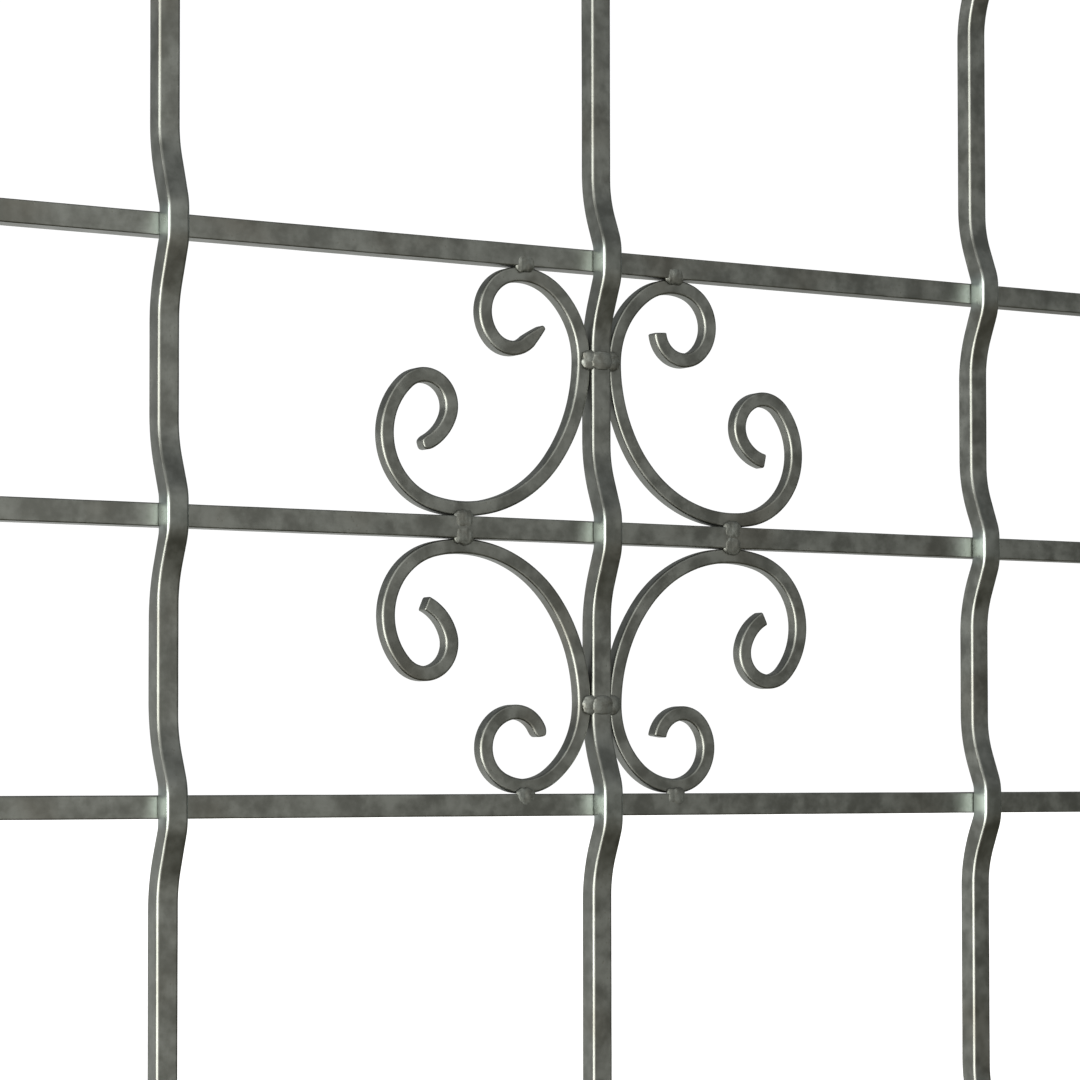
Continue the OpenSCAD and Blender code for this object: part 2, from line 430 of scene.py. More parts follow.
@dataclass(frozen=True)
class Section:
    """A square bar's section, in p across and q through; the front face is at the low end of q.

    Attributes:
        half: half its width.
        front, back: where the front and back faces lie.
        front_corner, back_corner: radius of the front and the back corners.
        bulge: how far the sides swell out.
        TURNS: steps round a corner.
        FLATS: places of the points on a flat side, as shares of it.
    """

    half: float
    front: float
    back: float
    front_corner: float
    back_corner: float
    bulge: float = 0.0

    TURNS: ClassVar[int] = 6
    FLATS: ClassVar[tuple[float, ...]] = (0.035, 0.2, 0.4, 0.6, 0.8, 0.965)

    def points(self) -> list[Pair]:
        """Lay out the outline.

        Returns:
            A loop of p and q.
        """
        corners = (
            (self.half, self.back, self.back_corner, 0.0),
            (-self.half, self.back, self.back_corner, 90.0),
            (-self.half, self.front, self.front_corner, 180.0),
            (self.half, self.front, self.front_corner, 270.0),
        )
        arcs: list[list[Pair]] = []
        for p, q, r, start in corners:
            cp = p - math.copysign(r, p)
            cq = q - r if start < 180.0 else q + r
            turns = [math.radians(start + 90.0 * k / self.TURNS) for k in range(self.TURNS + 1)]
            arcs.append([(cp + r * math.cos(turn), cq + r * math.sin(turn)) for turn in turns])
        loop: list[Pair] = []
        for number, arc in enumerate(arcs):
            loop.extend(arc)
            (p0, q0), (p1, q1) = arc[-1], arcs[(number + 1) % 4][0]
            upright = number in (1, 3)
            out = -1.0 if number == 1 else 1.0
            for t in self.FLATS:
                swell = self.bulge * 4.0 * t * (1.0 - t) if upright else 0.0
                loop.append((p0 + (p1 - p0) * t + out * swell, q0 + (q1 - q0) * t))
        return loop


def uneven(x: float, y: float, z: float, seed: float, amount: float) -> float:
    """Give the small swell of hand-worked steel at a place.

    Args:
        x: place across the panel.
        y: place through the panel.
        z: height.
        seed: picks one piece's own pattern.
        amount: how far the surface may stray.

    Returns:
        A distance along the surface's outward direction.
    """
    short, long = 45.0, 11.0
    quick = noise.noise(Vector((x * short + seed * 7.3, y * short, z * short - seed)))
    slow = noise.noise(Vector((x * long - seed * 3.1, y * long, z * long + seed)))
    return amount * (0.5 * quick + 0.8 * slow)


@dataclass(frozen=True)
class Bend:
    """One step of a bent bar: a straight when the turn is 0, otherwise an arc.

    Lengths and radii are in metres and turns in degrees. A positive turn leans towards the
    path's own +u side.
    """

    size: float
    turn: float = 0.0

    @property
    def length(self) -> float:
        """Length of the bar along this step."""
        return self.size if self.turn == 0 else self.size * math.radians(abs(self.turn))

    def at(self, start: Point, part: float) -> Point:
        """Find a place along the step.

        Args:
            start: u, w and heading in degrees where the step begins.
            part: share of the step, from 0 to 1.

        Returns:
            u, w and heading at that share.
        """
        u, w, h = start
        a = math.radians(h)
        if self.turn == 0:
            return (u + part * self.size * math.sin(a), w + part * self.size * math.cos(a), h)
        way = math.copysign(1.0, self.turn)
        b = math.radians(h + part * self.turn)
        du = way * self.size * (math.cos(a) - math.cos(b))
        return (u + du, w + way * self.size * (math.sin(b) - math.sin(a)), h + part * self.turn)


def follow(start: Point, steps: Sequence[Bend], pitch: float) -> list[Point]:
    """List stations along a chain of steps.

    Args:
        start: u, w and heading in degrees.
        steps: the chain.
        pitch: largest distance between stations.

    Returns:
        Stations as u, w and heading.
    """
    row = [start]
    at = start
    for step in steps:
        cuts = max(1, math.ceil(step.length / pitch), math.ceil(abs(step.turn) / 4.0))
        row.extend(step.at(at, k / cuts) for k in range(1, cuts + 1))
        at = step.at(at, 1.0)
    return row


# --- Sub-assemblies ---


@dataclass(frozen=True)
class Ramp:
    """One slope of a crimp's face, in millimetres from the rail's centre line.

    Attributes:
        foot: where it leaves the straight bar.
        crest: where it reaches the crimp's flat top.
    """

    foot: float
    crest: float


@dataclass(frozen=True)
class Crimp:
    """One crimp as the press left it, with its own slope above and below on each face."""

    front_above: Ramp = Ramp(38.0, 9.6)
    front_below: Ramp = Ramp(38.0, 9.6)
    back_above: Ramp = Ramp(36.0, 8.4)
    back_below: Ramp = Ramp(36.0, 8.4)

    @classmethod
    def of(cls, *pairs: Pair) -> "Crimp":
        """Make a crimp from a foot and a crest for each of its four slopes."""
        return cls(*(Ramp(*pair) for pair in pairs))


@dataclass
class Face:
    """One face of a crimped bar as a chain of corners that are rounded off.

    Attributes:
        corners: height, distance in front of the straight bar's face and radius of each corner.
    """

    corners: list[Point]

    def depth(self, z: float) -> float:
        """Find how far forward the face stands at a height.

        Args:
            z: the height.

        Returns:
            The distance in front of the straight bar's face.
        """
        points = self.corners
        for number in range(1, len(points)):
            if z <= points[number][0] or number == len(points) - 1:
                z0, d0, _ = points[number - 1]
                z1, d1, _ = points[number]
                value = d0 + (d1 - d0) * (z - z0) / (z1 - z0)
                for index in (number - 1, number):
                    value += self._round(index, z)
                return value
        return 0.0

    def _round(self, index: int, z: float) -> float:
        """Find the correction that rounds off one corner.

        Args:
            index: the corner's number.
            z: the height.

        Returns:
            What it adds to the face's distance at that height.
        """
        if index in (0, len(self.corners) - 1):
            return 0.0
        zc, dc, radius = self.corners[index]
        za, da, _ = self.corners[index - 1]
        zb, db, _ = self.corners[index + 1]
        before = (dc - da) / (zc - za)
        after = (db - dc) / (zb - zc)
        turn = after - before
        half = radius * abs(turn) / 2.0
        if abs(z - zc) >= half:
            return 0.0
        gap = half - abs(z - zc)
        return turn * gap * gap / (4.0 * half)


@dataclass
class Uprights:
    """The three upright bars, crimped forward over every rail and a little swaged there.

    Attributes:
        finish: the bars' steel.
        corner: radius of the long edges.
        foot_front, foot_back: radius at a crimp's foot on each face.
        crest_front, crest_back: radius at a crimp's top on each face.
        swage: how far the press spread the sides at a crimp.
        softened: how much rounder the front edges are at a crimp.
        stray: how far the faces stray from flat.
        cut: depth of the rounding at the sawn ends.
        press_core, press_fade: reach of the fully pressed steel, and where it fades out.
        press_front: how much of the pressing, and so of its painted blue-grey reflection, shows on the
            front face.
        press_edge: where the front face turns into the side, as a share of the bar.
        steps: reach from a rail, and distance between rings within it.
        long_step: distance between rings on the straight bar.
        seed: picks the bars' own unevenness.
        crimps: the crimps that differ from the common one, by bar and rail.
    """

    finish: SteelFinish
    corner: float = 1.25 * MM
    foot_front: float = 46 * MM
    foot_back: float = 70 * MM
    crest_front: float = 24 * MM
    crest_back: float = 8 * MM
    swage: float = 0.6 * MM
    softened: float = 0.2 * MM
    stray: float = 0.16 * MM
    cut: float = 0.6 * MM
    press_core: float = 2.0 * MM
    press_fade: float = 11.0 * MM
    press_front: float = 0.15
    press_edge: float = 0.42
    steps: tuple[Pair, ...] = ((18 * MM, 1.0 * MM), (56 * MM, 2.0 * MM))
    long_step: float = 5.0 * MM
    seed: float = 1.7
    crimps: dict[tuple[str, str], Crimp] = field(default_factory=dict)

    def faces(self, name: str, low: float, high: float, depth: float) -> tuple[Face, Face]:
        """Lay out the front and back faces of one bar.

        Args:
            name: the bar.
            low: height of its lower end.
            high: height of its upper end.
            depth: how far forward a crimp stands.

        Returns:
            The front face and the back face.
        """
        front: list[Point] = [(low, 0.0, 0.0)]
        back: list[Point] = [(low, 0.0, 0.0)]
        for rail in RAIL_NAMES:
            z = middle(rail).z
            crimp = self.crimps.get((name, rail), Crimp())
            for chain, below, above, foot, crest in (
                (front, crimp.front_below, crimp.front_above, self.foot_front, self.crest_front),
                (back, crimp.back_below, crimp.back_above, self.foot_back, self.crest_back),
            ):
                chain.append((z - below.foot * MM, 0.0, foot))
                chain.append((z - below.crest * MM, depth, crest))
                chain.append((z + above.crest * MM, depth, crest))
                chain.append((z + above.foot * MM, 0.0, foot))
        front.append((high, 0.0, 0.0))
        back.append((high, 0.0, 0.0))
        return Face(front), Face(back)

    def heights(self, low: float, high: float) -> list[float]:
        """List the heights of a bar's rings, close together at the crimps.

        Args:
            low: height of the lower end.
            high: height of the upper end.

        Returns:
            Rising heights.
        """
        levels = [middle(rail).z for rail in RAIL_NAMES]
        edge = 0.2 * MM
        last = high - 2.0 * MM
        row = [low, low + edge, low + self.cut]
        while row[-1] < last - 0.5 * MM:
            near = min(abs(row[-1] - z) for z in levels)
            step = next((step for reach, step in self.steps if near < reach), self.long_step)
            row.append(min(row[-1] + step, last))
        return row + [high - self.cut, high - edge, high]

    def build(self) -> list[Piece]:
        """Build the three bars.

        Returns:
            The new objects.
        """
        steel = self.finish.build()
        return [self._bar(name, number, steel) for number, name in enumerate(BAR_NAMES)]

    def _bar(self, name: str, number: int, steel: Material) -> Piece:
        """Build one bar from level slices.

        Args:
            name: the CAD node.
            number: the bar's number, from 0 on the left.
            steel: its material.

        Returns:
            The new bar.
        """
        levels = [middle(rail).z for rail in RAIL_NAMES]
        low, high = ends(name)
        size = high.x - low.x
        centre = (low.x + high.x) / 2
        centre_y = high.y - size / 2
        depth = high.y - low.y - size
        front, back = self.faces(name, low.z, high.z, depth)
        rings: list[list[Point]] = []
        press_sheen: list[list[float]] = []
        heights = self.heights(low.z, high.z)
        for z in heights:
            near = min(abs(z - level) for level in levels)
            worked = 1.0 - smooth((near - self.press_core) / self.press_fade)
            inset = max(0.0, self.cut - min(z - low.z, high.z - z)) * 0.9
            section = Section(
                half=size / 2 - inset,
                front=-(size / 2 + front.depth(z)) + inset,
                back=size / 2 - back.depth(z) - inset,
                front_corner=self.corner + self.softened * worked,
                back_corner=self.corner,
                bulge=self.swage * worked,
            )
            ring: list[Point] = []
            for p, q in section.points():
                k = 1.0 + uneven(centre + p, q, z, self.seed + number, self.stray) / size
                ring.append((centre + p * k, centre_y + (q * k if q < 0 else q), z))
            rings.append(ring)
            # Painted reflection mask: the pressing's painted blue-grey sheen and smoother roughness go
            # full on the side faces and faint on the front face.
            face = size * self.press_edge
            shares = [self.press_front if abs(p) < face else 1.0 for p, _ in section.points()]
            press_sheen.append([worked * share for share in shares])
        shape = Shape()
        shape.skin(rings, [z + number for z in heights], press_sheen)
        return shape.finish("forged_" + name, steel, "bar_steel", name)


@dataclass
class Rails:
    """The five level rails of straight square bar.

    Attributes:
        finish: the rails' steel.
        corner: radius of the long edges.
        stray: how far the faces stray from flat.
        step: distance between rings.
        seed: picks the rails' own unevenness.
    """

    finish: SteelFinish
    corner: float = 0.8 * MM
    stray: float = 0.13 * MM
    step: float = 6 * MM
    seed: float = 11.3

    def build(self) -> list[Piece]:
        """Build the five rails.

        Returns:
            The new objects.
        """
        steel = self.finish.build()
        return [self._rail(name, number, steel) for number, name in enumerate(RAIL_NAMES)]

    def _rail(self, name: str, number: int, steel: Material) -> Piece:
        """Build one rail.

        Args:
            name: the CAD node.
            number: the rail's number, from 0 at the bottom.
            steel: its material.

        Returns:
            The new rail.
        """
        low, high = ends(name)
        half = (high.z - low.z) / 2
        centre = middle(name)
        cuts = math.ceil((high.x - low.x) / self.step)
        places = [low.x + (high.x - low.x) * k / cuts for k in range(cuts + 1)]
        loop = Section(half, -half, half, self.corner, self.corner).points()
        rings: list[list[Point]] = []
        for x in places:
            ring: list[Point] = []
            for p, q in loop:
                k = 1.0 - abs(uneven(x, q, centre.z + p, self.seed + number, self.stray)) / half
                ring.append((x, centre.y + q * k, centre.z - p * k))
            rings.append(ring)
        shape = Shape()
        shape.skin(rings, [x + 3.0 * number for x in places])
        return shape.finish("rolled_" + name, steel, "rail_steel", name)


@dataclass(frozen=True)
class Curl:
    """Radii in millimetres and turns in degrees for the two halves of one scroll.

    Attributes:
        contact: height of the point that touches the centre bar.
        small, large: bends from that point round the small curl and round the large one.
        small_tip, large_tip: how each end was left.
    """

    contact: float
    small: tuple[Pair, ...]
    large: tuple[Pair, ...]
    small_tip: Tip = Tip.SAWN
    large_tip: Tip = Tip.SAWN


@dataclass
class Scrolls:
    """The four C-scrolls of lighter bar, each bent by hand and so a little its own shape.

    Attributes:
        finish: the scrolls' steel.
        corner: radius of the long edges.
        stray: how far the faces stray from flat.
        step: distance between rings.
        end_rings: distances of the closer rings from each end, in millimetres.
        end_clear: distance from each end where the common rings begin.
        cut: depth of the rounding at an end.
        short_tip, long_tip: length of a sawn or rounded end, and of a pointed one.
        seed: picks the scrolls' own unevenness.
        curls: the bends of each scroll.
    """

    finish: SteelFinish
    corner: float = 1.15 * MM
    stray: float = 0.12 * MM
    step: float = 2 * MM
    end_rings: Sequence[float] = (0.0, 0.12, 0.3, 0.6, 1.0, 1.6, 2.4, 3.4, 4.6, 6.0, 7.5, 9.0, 10.5, 12.0)
    end_clear: float = 13.0 * MM
    cut: float = 0.7 * MM
    short_tip: float = 7.5 * MM
    long_tip: float = 12.5 * MM
    seed: float = 23.1
    curls: dict[tuple[Side, Level], Curl] = field(default_factory=dict)

    def build(self) -> list[Piece]:
        """Build the four scrolls.

        Returns:
            The new objects.
        """
        steel = self.finish.build()
        return [self._scroll(key, number, steel) for number, key in enumerate(self.curls)]

    def path(self, name: str, curl: Curl) -> list[Point]:
        """Lay out one scroll so that it touches the centre bar and both rails.

        Args:
            name: the CAD node whose box it fits.
            curl: its bends.

        Returns:
            Stations as u, w and heading, from the small end to the large end.
        """
        low, high = ends(name)
        size = high.y - low.y
        bar_low, bar_high = ends("bar_centre")
        u = (bar_high.x - bar_low.x + size) / 2
        w = curl.contact * MM
        near, far = sorted((abs(low.z), abs(high.z)))
        small = [Bend(r * MM, a) for r, a in curl.small]
        large = [Bend(r * MM, -a) for r, a in curl.large]
        fine = 0.5 * MM
        rise = max(s[1] for s in follow((u, w, 0.0), small, fine)) - w
        fall = w - min(s[1] for s in follow((u, w, 180.0), large, fine))
        up_scale = (far - size / 2 - w) / rise
        down_scale = (w - near - size / 2) / fall
        small = [Bend(b.size * up_scale, b.turn) for b in small]
        large = [Bend(b.size * down_scale, b.turn) for b in large]
        up = follow((u, w, 0.0), small, self.step)
        down = follow((u, w, 180.0), large, self.step)
        return [(a, b, h + 180.0) for a, b, h in reversed(up[1:])] + down

    def _scroll(self, key: tuple[Side, Level], number: int, steel: Material) -> Piece:
        """Build one scroll by carrying its section along its path.

        Args:
            key: the scroll's side and level.
            number: the scroll's number.
            steel: its material.

        Returns:
            The new scroll.
        """
        side, level = key
        curl = self.curls[key]
        name = f"scroll_{level.name.lower()}_{side.name.lower()}"
        low, high = ends(name)
        half = (high.y - low.y) / 2
        centre_y = (high.y + low.y) / 2
        row = self.path(name, curl)
        run = [0.0]
        for a, b in zip(row, row[1:]):
            run.append(run[-1] + math.dist(a[:2], b[:2]))
        total = run[-1]
        rings: list[list[Point]] = []
        along: list[float] = []
        for (u, w, heading), at in self._stops(row, run):
            cos, sin = math.cos(math.radians(heading)), math.sin(math.radians(heading))
            thin, wide = self._tip(curl, at, total)
            ring: list[Point] = []
            for p, q in Section(half * thin, -half * wide, half * wide, self.corner, self.corner).points():
                seed = self.seed + number
                k = 1.0 - abs(uneven(side.value * u, q, level.value * w, seed, self.stray)) / half
                x, z = u + p * k * cos, w - p * k * sin
                ring.append((side.value * x, centre_y + q * k, level.value * z))
            rings.append(ring)
            along.append(at + number)
        shape = Shape()
        shape.skin(rings, along, turned=side.value * level.value < 0)
        return shape.finish("forged_" + name, steel, "scroll_steel", name)

    def _stops(self, row: list[Point], run: list[float]) -> list[tuple[Point, float]]:
        """Place the rings, closer together near both ends so that the ends can be shaped.

        Args:
            row: stations of the path.
            run: distance along the path at each station.

        Returns:
            A station and its distance along the path for every ring.
        """
        total = run[-1]
        wanted = [reach * MM for reach in self.end_rings]
        wanted += [at for at in run if self.end_clear < at < total - self.end_clear]
        wanted += [total - reach * MM for reach in reversed(self.end_rings)]
        stops: list[tuple[Point, float]] = []
        index = 0
        for at in wanted:
            while index < len(run) - 2 and run[index + 1] < at:
                index += 1
            share = (at - run[index]) / (run[index + 1] - run[index])
            a, b = row[index], row[index + 1]
            stops.append((tuple(p + (q - p) * share for p, q in zip(a, b)), at))
        return stops

    def _tip(self, curl: Curl, at: float, total: float) -> Pair:
        """Find how thin and how wide the bar is, as shares of the full section.

        Args:
            curl: the scroll's bends and tips.
            at: distance along the path.
            total: the path's whole length.

        Returns:
            The share across and the share through.
        """
        for tip, reach in ((curl.small_tip, at), (curl.large_tip, total - at)):
            if reach > (self.long_tip if tip is Tip.POINTED else self.short_tip):
                continue
            soft = math.sqrt(max(0.0, 1.0 - (1.0 - min(1.0, reach / self.cut)) ** 2))
            edge = 0.80 + 0.20 * soft
            if tip is Tip.SAWN:
                return edge, edge
            if tip is Tip.ROUNDED:
                t = min(1.0, reach / (5.0 * MM))
                return edge * (0.38 + 0.62 * math.sqrt(1.0 - (1.0 - t) ** 2)), edge
            return edge * (0.30 + 0.70 * min(1.0, reach / (12.0 * MM)) ** 0.8), edge
        return 1.0, 1.0


@dataclass
class Beads:
    """Weld metal: lumps laid into the corners where bars, rails, scrolls and plates meet.

    Attributes:
        finish: the weld metal.
        crossing: half size of a bead behind a bar.
        ledge: half size of a bead between a scroll and a rail.
        pad: half size of a bead between the centre bar and a scroll.
        bridge: half size of the weld metal across the centre bar's face.
        ring: half thickness of the bead round a rail's end.
        stations: rings along a bead.
        sides: points round a bead.
    """

    finish: BeadFinish
    crossing: Point = (4.0 * MM, 1.5 * MM, 1.5 * MM)
    ledge: Point = (6.2 * MM, 1.5 * MM, 5.4 * MM)
    pad: Point = (6.0 * MM, 1.5 * MM, 5.4 * MM)
    bridge: Point = (6.4 * MM, 1.0 * MM, 5.2 * MM)
    ring: float = 2.6 * MM
    stations: int = 25
    sides: int = 28

    def lump(self, shape: Shape, place: Point, half: Point, axis: int, seed: float) -> None:
        """Add one rippled, uneven bead.

        Args:
            shape: the mesh that it is added to.
            place: its middle.
            half: half its size along x, y and z.
            axis: 0, 1 or 2, the direction that it was laid in.
            seed: picks its own unevenness.
        """
        a, b = (axis + 1) % 3, (axis + 2) % 3
        rings: list[list[Point]] = []
        along: list[float] = []
        for step in range(self.stations):
            t = -math.cos(math.pi * (step + 0.35) / (self.stations - 0.3))
            girth = (1.0 - abs(t) ** 3.0) ** (1.0 / 2.6)
            girth *= 1.0 + 0.02 * math.sin(17.0 * t + seed)
            ring: list[Point] = []
            for k in range(self.sides):
                turn = 2.0 * math.pi * k / self.sides
                out_a, out_b = girth * math.cos(turn), girth * math.sin(turn)
                spot = [0.0, 0.0, 0.0]
                spot[axis], spot[a], spot[b] = t * 1.3, out_a, out_b
                lift = noise.noise(Vector(spot) * 1.6 + Vector((seed, 0.0, 0.0))) * 0.16
                lift += noise.noise(Vector(spot) * 4.5 - Vector((0.0, seed, 0.0))) * 0.07
                point = [0.0, 0.0, 0.0]
                point[axis] = place[axis] + half[axis] * t
                point[a] = place[a] + half[a] * out_a * (1.0 + lift)
                point[b] = place[b] + half[b] * out_b * (1.0 + lift)
                ring.append(tuple(point))
            rings.append(ring)
            along.append(half[axis] * t + seed)
        shape.skin(rings, along)

    def build(self) -> list[Piece]:
        """Build every bead.

        Returns:
            The new objects, one for each of the record's weld nodes.
        """
        metal = self.finish.build()
        made = [self._crossings(level, metal) for level in reversed(RAIL_LEVELS)]
        made += [self._ledges(side, level, metal) for side in Side for level in Level]
        made += [self._pads(level, metal) for level in Level]
        made += [self._rings(side, metal) for side in Side]
        return made

    def _crossings(self, level: str, metal: Material) -> Piece:
        """Lay the beads behind the bars along one rail.

        Args:
            level: the rail's name.
            metal: the beads' material.

        Returns:
            The six beads as one piece.
        """
        low, high = ends(f"rail_{level}")
        shape = Shape()
        for bar in BAR_NAMES:
            x = middle(bar).x
            for z in (low.z, high.z):
                self.lump(shape, (x, low.y, z), self.crossing, 0, 3.1 + x * 40.0 + z * 30.0)
        return shape.finish(f"bead_crossing_{level}", metal, "weld_metal", f"crossing_welds_{level}")

    def _ledges(self, side: Side, level: Level, metal: Material) -> Piece:
        """Lay the beads that tie one scroll to its two rails.

        Args:
            side: the scroll's side.
            level: the scroll's level.
            metal: the beads' material.

        Returns:
            The two beads as one piece.
        """
        node = f"scroll_welds_{level.name.lower()}_{side.name.lower()}"
        low, high = ends(node)
        scroll_low, scroll_high = ends(node.replace("_welds", ""))
        rail_low, _ = ends("rail_middle")
        x_near, x_far = sorted((low.x, high.x), key=abs)
        inset = side.value * 5.0 * MM
        sunk, spill = 1.2 * MM, 2.2 * MM
        tall = (high.z - low.z) / 2
        shape = Shape()
        for z, contact, way in ((low.z, scroll_low.z, Level.LOWER), (high.z, scroll_high.z, Level.UPPER)):
            x = x_near + inset if level is way else x_far - inset
            place = (x, rail_low.y + sunk, contact + way.value * spill)
            self.lump(shape, place, self.ledge, 0, 5.7 + 20.0 * x + 30.0 * z + tall)
        name = f"bead_scroll_{level.name.lower()}_{side.name.lower()}"
        return shape.finish(name, metal, "weld_metal", node)

    def _pads(self, level: Level, metal: Material) -> Piece:
        """Lay the weld that ties the centre bar to a pair of scrolls.

        Args:
            level: above or below the middle rail.
            metal: the weld's material.

        Returns:
            The weld as one piece.
        """
        node = f"centre_weld_{level.name.lower()}"
        place = middle(node)
        bar_low, bar_high = ends("bar_centre")
        front = bar_high.y - (bar_high.x - bar_low.x)
        sunk, proud = 1.1 * MM, 0.1 * MM
        shape = Shape()
        for x in (bar_low.x, bar_high.x):
            self.lump(shape, (x * 0.98, front + sunk, place.z), self.pad, 2, 9.3 + x * 300.0 + level.value)
        self.lump(shape, (place.x, front - proud, place.z), self.bridge, 2, 4.4 + level.value)
        return shape.finish(f"bead_centre_{level.name.lower()}", metal, "weld_metal", node)

    def _rings(self, side: Side, metal: Material) -> Piece:
        """Lay a bead round each rail end against its plate.

        Args:
            side: the panel's side.
            metal: the beads' material.

        Returns:
            The beads of all five rails as one piece.
        """
        node = f"plate_welds_{side.name.lower()}"
        low, high = ends(node)
        x = low.x if side is Side.LEFT else high.x
        x_at = x - side.value * 0.6 * MM
        past = 1.6 * MM
        shape = Shape()
        for level in reversed(RAIL_LEVELS):
            rail_low, rail_high = ends(f"rail_{level}")
            mid = (rail_low + rail_high) / 2
            half = (rail_high.z - rail_low.z) / 2
            spread = (self.ring, half + past, self.ring)
            upright = (self.ring, self.ring, half + past)
            for k in (-1, 1):
                seed = 2.0 * k + mid.z * 50.0
                self.lump(shape, (x_at, mid.y, mid.z + k * half), spread, 1, seed)
                self.lump(shape, (x_at, mid.y + k * half, mid.z), upright, 2, seed + 0.7)
        name = f"bead_plates_{side.name.lower()}"
        return shape.finish(name, metal, "weld_metal", node)


@dataclass
class Plates:
    """The ten wall plates, kept as the CAD made them with softened edges.

    Attributes:
        finish: the plates' steel.
        nodes: the CAD nodes by name.
        edge: width of the rounded edges.
    """

    finish: SteelFinish
    nodes: dict[str, Piece]
    edge: float = 0.7 * MM

    def build(self) -> list[Piece]:
        """Round the edges and dress the plates.

        Returns:
            The plates.
        """
        steel = self.finish.build()
        made = []
        for name, node in self.nodes.items():
            if not name.startswith("plate_") or "welds" in name:
                continue
            bevel = node.modifiers.new("edge", "BEVEL")
            bevel.width = self.edge
            bevel.segments = 3
            bevel.limit_method = "ANGLE"
            bevel.angle_limit = math.radians(50)
            node.data.materials.clear()
            node.data.materials.append(steel)
            made.append(node)
        return made


# --- Studio ---


@dataclass(frozen=True)
class Glow:
    """A soft patch of light in the surround.

    Attributes:
        turn: its direction round the panel in degrees, 0 in front and rising to the right.
        spread: how far it reaches to each side before it is gone.
        core: how far it stays at full strength.
        low: elevation in degrees where it has faded out below.
        high: elevation where it has faded out above.
        strength: its brightness.
        tint: its colour.
    """

    turn: float
    spread: float
    core: float
    low: float
    high: float
    strength: float
    tint: Point = (1.0, 1.0, 1.0)


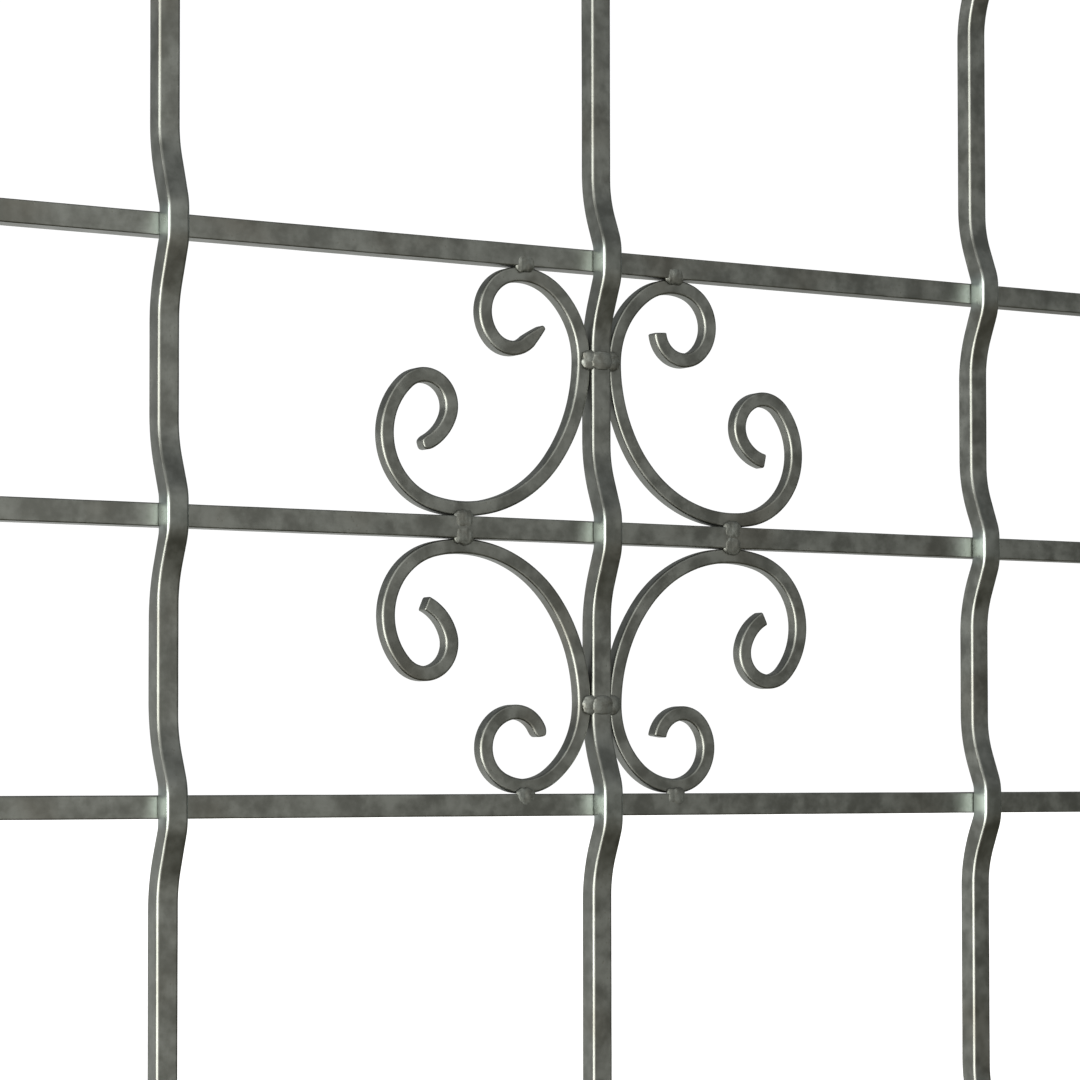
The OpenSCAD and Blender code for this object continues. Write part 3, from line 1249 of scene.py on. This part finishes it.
@dataclass
class Studio:
    """Pale floor, white surround, soft light and the camera.

    Attributes:
        eye: the camera's place from the panel's middle.
        heading, pitch, roll: how far it turns right, looks up and leans, in degrees.
        focal_share: focal length as a share of the picture's width.
        rise: upward shift as a share of the picture's width.
        glows: the patches of light.
        above, below: colour of the surround overhead and underneath.
        reach: how far the floor goes out to each side.
    """

    eye: Point = (-0.9983, -1.6247, -0.1325)
    heading: float = 30.64
    pitch: float = 1.90
    roll: float = -0.06
    focal_share: float = 3500.0 / 1080.0
    rise: float = 120.0 / 1080.0
    glows: tuple[Glow, ...] = (
        Glow(-70.0, 54.0, 24.0, -46.0, 26.0, 7.0, (1.0, 0.99, 0.95)),
        Glow(-17.0, 44.0, 13.0, -46.0, 52.0, 1.62, (1.0, 0.99, 0.95)),
        Glow(180.0, 50.0, 16.0, -60.0, 18.0, 0.85, (0.97, 0.99, 1.0)),
    )
    above: Point = (0.26, 0.27, 0.27)
    below: Point = (0.12, 0.115, 0.088)
    reach: float = 30.0

    def camera(self, centre: Vector) -> None:
        """Place the camera.

        Args:
            centre: where the centre bar crosses the middle rail.
        """
        data = bpy.data.cameras.new("camera")
        data.sensor_width = 36.0
        data.lens = 36.0 * self.focal_share
        data.shift_y = self.rise
        data.clip_end = 100.0
        cam = bpy.data.objects.new("camera", data)
        bpy.context.scene.collection.objects.link(cam)
        yaw, tilt, lean = (math.radians(a) for a in (self.heading, self.pitch, self.roll))
        ahead = Vector((math.sin(yaw) * math.cos(tilt), math.cos(yaw) * math.cos(tilt), math.sin(tilt)))
        right = Vector((math.cos(yaw), -math.sin(yaw), 0.0))
        up = right.cross(ahead)
        level_right = right * math.cos(lean) + up * math.sin(lean)
        level_up = up * math.cos(lean) - right * math.sin(lean)
        basis = Matrix((level_right, level_up, -ahead)).transposed()
        cam.matrix_world = Matrix.Translation(centre + Vector(self.eye)) @ basis.to_4x4()
        bpy.context.scene.camera = cam

    def surround(self) -> None:
        """Light everything from a soft surround that shows as plain white behind the panel."""
        world = bpy.data.worlds.new("surround")
        world.use_nodes = True
        bpy.context.scene.world = world
        g = NodeGraph(world.node_tree)
        way = g.add("ShaderNodeTexCoord").outputs["Generated"]
        parts = g.add("ShaderNodeSeparateXYZ", {0: way})
        x, y, z = parts.outputs
        flat = g.maths("SQRT", g.maths("ADD", g.maths("MULTIPLY", x, x), g.maths("MULTIPLY", y, y)))
        flat = g.maths("MAXIMUM", flat, 0.001)
        lift = g.maths("MULTIPLY", g.maths("ARCTAN2", z, flat), 180.0 / math.pi)
        light = g.mix(g.level(lift, -18.0, 22.0), (*self.below, 1.0), (*self.above, 1.0))
        for glow in self.glows:
            turn = math.radians(glow.turn)
            across = g.maths("MULTIPLY", x, math.sin(turn))
            facing = g.maths("ADD", across, g.maths("MULTIPLY", y, -math.cos(turn)))
            facing = g.maths("DIVIDE", facing, flat)
            wide = g.level(facing, math.cos(math.radians(glow.spread)), math.cos(math.radians(glow.core)))
            mid = (glow.low + glow.high) / 2
            full = 0.35
            rise = g.level(lift, glow.low, mid - (mid - glow.low) * full)
            fall = g.level(lift, mid + (glow.high - mid) * full, glow.high, 1.0, 0.0)
            amount = g.maths("MULTIPLY", g.maths("MULTIPLY", wide, rise), fall)
            tint = tuple(glow.strength * c for c in glow.tint)
            lit = g.mix(amount, (0.0, 0.0, 0.0, 1.0), (*tint, 1.0))
            light = g.mix(1.0, light, lit, "ADD")
        seen = g.add("ShaderNodeLightPath").outputs["Is Camera Ray"]
        white = g.add("ShaderNodeBackground", {"Color": (1.0, 1.0, 1.0, 1.0), "Strength": 1.05})
        soft = g.add("ShaderNodeBackground", {"Color": light, "Strength": 1.0})
        both = g.add("ShaderNodeMixShader", {0: seen, 1: soft.outputs[0], 2: white.outputs[0]})
        g.add("ShaderNodeOutputWorld", {0: both.outputs[0]})

    def floor(self, level: float) -> None:
        """Lay a plain pale floor under the panel.

        Args:
            level: its height.
        """
        corners = ((-1, -1), (1, -1), (1, 1), (-1, 1))
        verts = [(x * self.reach, y * self.reach, level) for x, y in corners]
        mesh = bpy.data.meshes.new("floor")
        mesh.from_pydata(verts, [], [(0, 1, 2, 3)])
        made = bpy.data.objects.new("floor", mesh)
        bpy.context.scene.collection.objects.link(made)
        pale, g = NodeGraph.material("pale_floor")
        seen = g.add("ShaderNodeLightPath").outputs["Is Camera Ray"]
        matt = g.add("ShaderNodeBsdfDiffuse", {"Color": (0.80, 0.79, 0.77, 1.0)})
        glow = g.add("ShaderNodeEmission", {"Color": (1.0, 1.0, 1.0, 1.0), "Strength": 1.0})
        lit = g.add("ShaderNodeAddShader", {0: matt.outputs[0], 1: glow.outputs[0]})
        both = g.add("ShaderNodeMixShader", {0: seen, 1: matt.outputs[0], 2: lit.outputs[0]})
        g.add("ShaderNodeOutputMaterial", {0: both.outputs[0]})
        mesh.materials.append(pale)
        made.visible_glossy = False

    def build(self, centre: Vector, ground: float) -> None:
        """Set up the whole studio.

        Args:
            centre: the middle of the panel.
            ground: height of the floor.
        """
        bpy.context.scene.view_settings.view_transform = "Standard"
        self.camera(centre)
        self.surround()
        self.floor(ground)


CURLS: dict[tuple[Side, Level], Curl] = {
    (Side.LEFT, Level.UPPER): Curl(
        93.8,
        ((46.6, 50.8), (32.7, 49.3), (20.6, 123.4), (14.9, 88.0), (13.0, 0.0)),
        ((91.1, 37.1), (69.9, 67.7), (36.9, 123.0), (15.7, 152.6), (25.7, 51.7)),
        small_tip=Tip.POINTED,
        large_tip=Tip.ROUNDED,
    ),
    (Side.RIGHT, Level.UPPER): Curl(
        93.3,
        ((47.0, 55.5), (30.8, 54.6), (20.2, 120.6), (15.3, 125.3)),
        ((91.7, 28.9), (73.4, 70.8), (37.2, 122.0), (16.2, 170.4), (21.5, 46.7)),
    ),
    (Side.LEFT, Level.LOWER): Curl(
        93.0,
        ((48.8, 52.8), (29.4, 64.2), (19.4, 139.7), (16.0, 93.2)),
        ((90.9, 35.3), (71.1, 69.0), (36.5, 119.8), (16.2, 152.6), (25.6, 50.5)),
        small_tip=Tip.ROUNDED,
    ),
    (Side.RIGHT, Level.LOWER): Curl(
        94.3,
        ((46.3, 45.7), (35.0, 47.1), (20.7, 128.7), (15.0, 130.0)),
        ((91.1, 37.5), (70.9, 68.2), (37.2, 117.3), (15.7, 151.4), (23.5, 50.0)),
    ),
}

CRIMPS: dict[tuple[str, str], Crimp] = {
    ("bar_left", "rail_upper"): Crimp.of((43.5, 10.5), (39.5, 8.5), (39.5, 8.5), (34.5, 5.5)),
    ("bar_left", "rail_middle"): Crimp.of((38.5, 10.5), (35.5, 9.0), (39.0, 9.5), (39.0, 9.5)),
    ("bar_left", "rail_lower"): Crimp.of((36.5, 10.5), (40.5, 10.0), (37.5, 11.0), (38.5, 10.5)),
    ("bar_centre", "rail_upper"): Crimp.of((35.0, 9.5), (37.0, 9.5), (34.0, 7.0), (36.0, 8.0)),
    ("bar_centre", "rail_lower"): Crimp.of((38.0, 10.5), (38.5, 11.5), (37.0, 9.5), (36.0, 10.0)),
    ("bar_right", "rail_upper"): Crimp.of((36.5, 8.5), (36.5, 10.0), (37.0, 6.5), (35.8, 7.5)),
    ("bar_right", "rail_middle"): Crimp.of((38.0, 9.0), (37.0, 9.3), (35.5, 9.5), (32.5, 8.0)),
    ("bar_right", "rail_lower"): Crimp.of((38.0, 10.8), (36.5, 9.5), (35.5, 9.0), (31.5, 7.0)),
}


def main() -> None:
    """Build the grille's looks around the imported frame."""
    logging.basicConfig(level=logging.INFO, format="%(message)s")
    centre = Vector((middle("bar_centre").x, middle("rail_middle").y, middle("rail_middle").z))
    groups = {
        "uprights": Uprights(SteelFinish("bar_steel"), crimps=CRIMPS).build(),
        "rails": Rails(SteelFinish("rail_steel")).build(),
        "scrolls": Scrolls(SteelFinish("scroll_steel"), curls=CURLS).build(),
        "plates": Plates(SteelFinish("plate_steel"), frame["nodes"]).build(),
        "beads": Beads(BeadFinish("weld_metal")).build(),
    }
    for group, made in groups.items():
        for piece in made:
            log.info("%s: %s", group, piece.name)
    Studio().build(centre, cad_box[0].z)


if __name__ == "__main__":
    main()
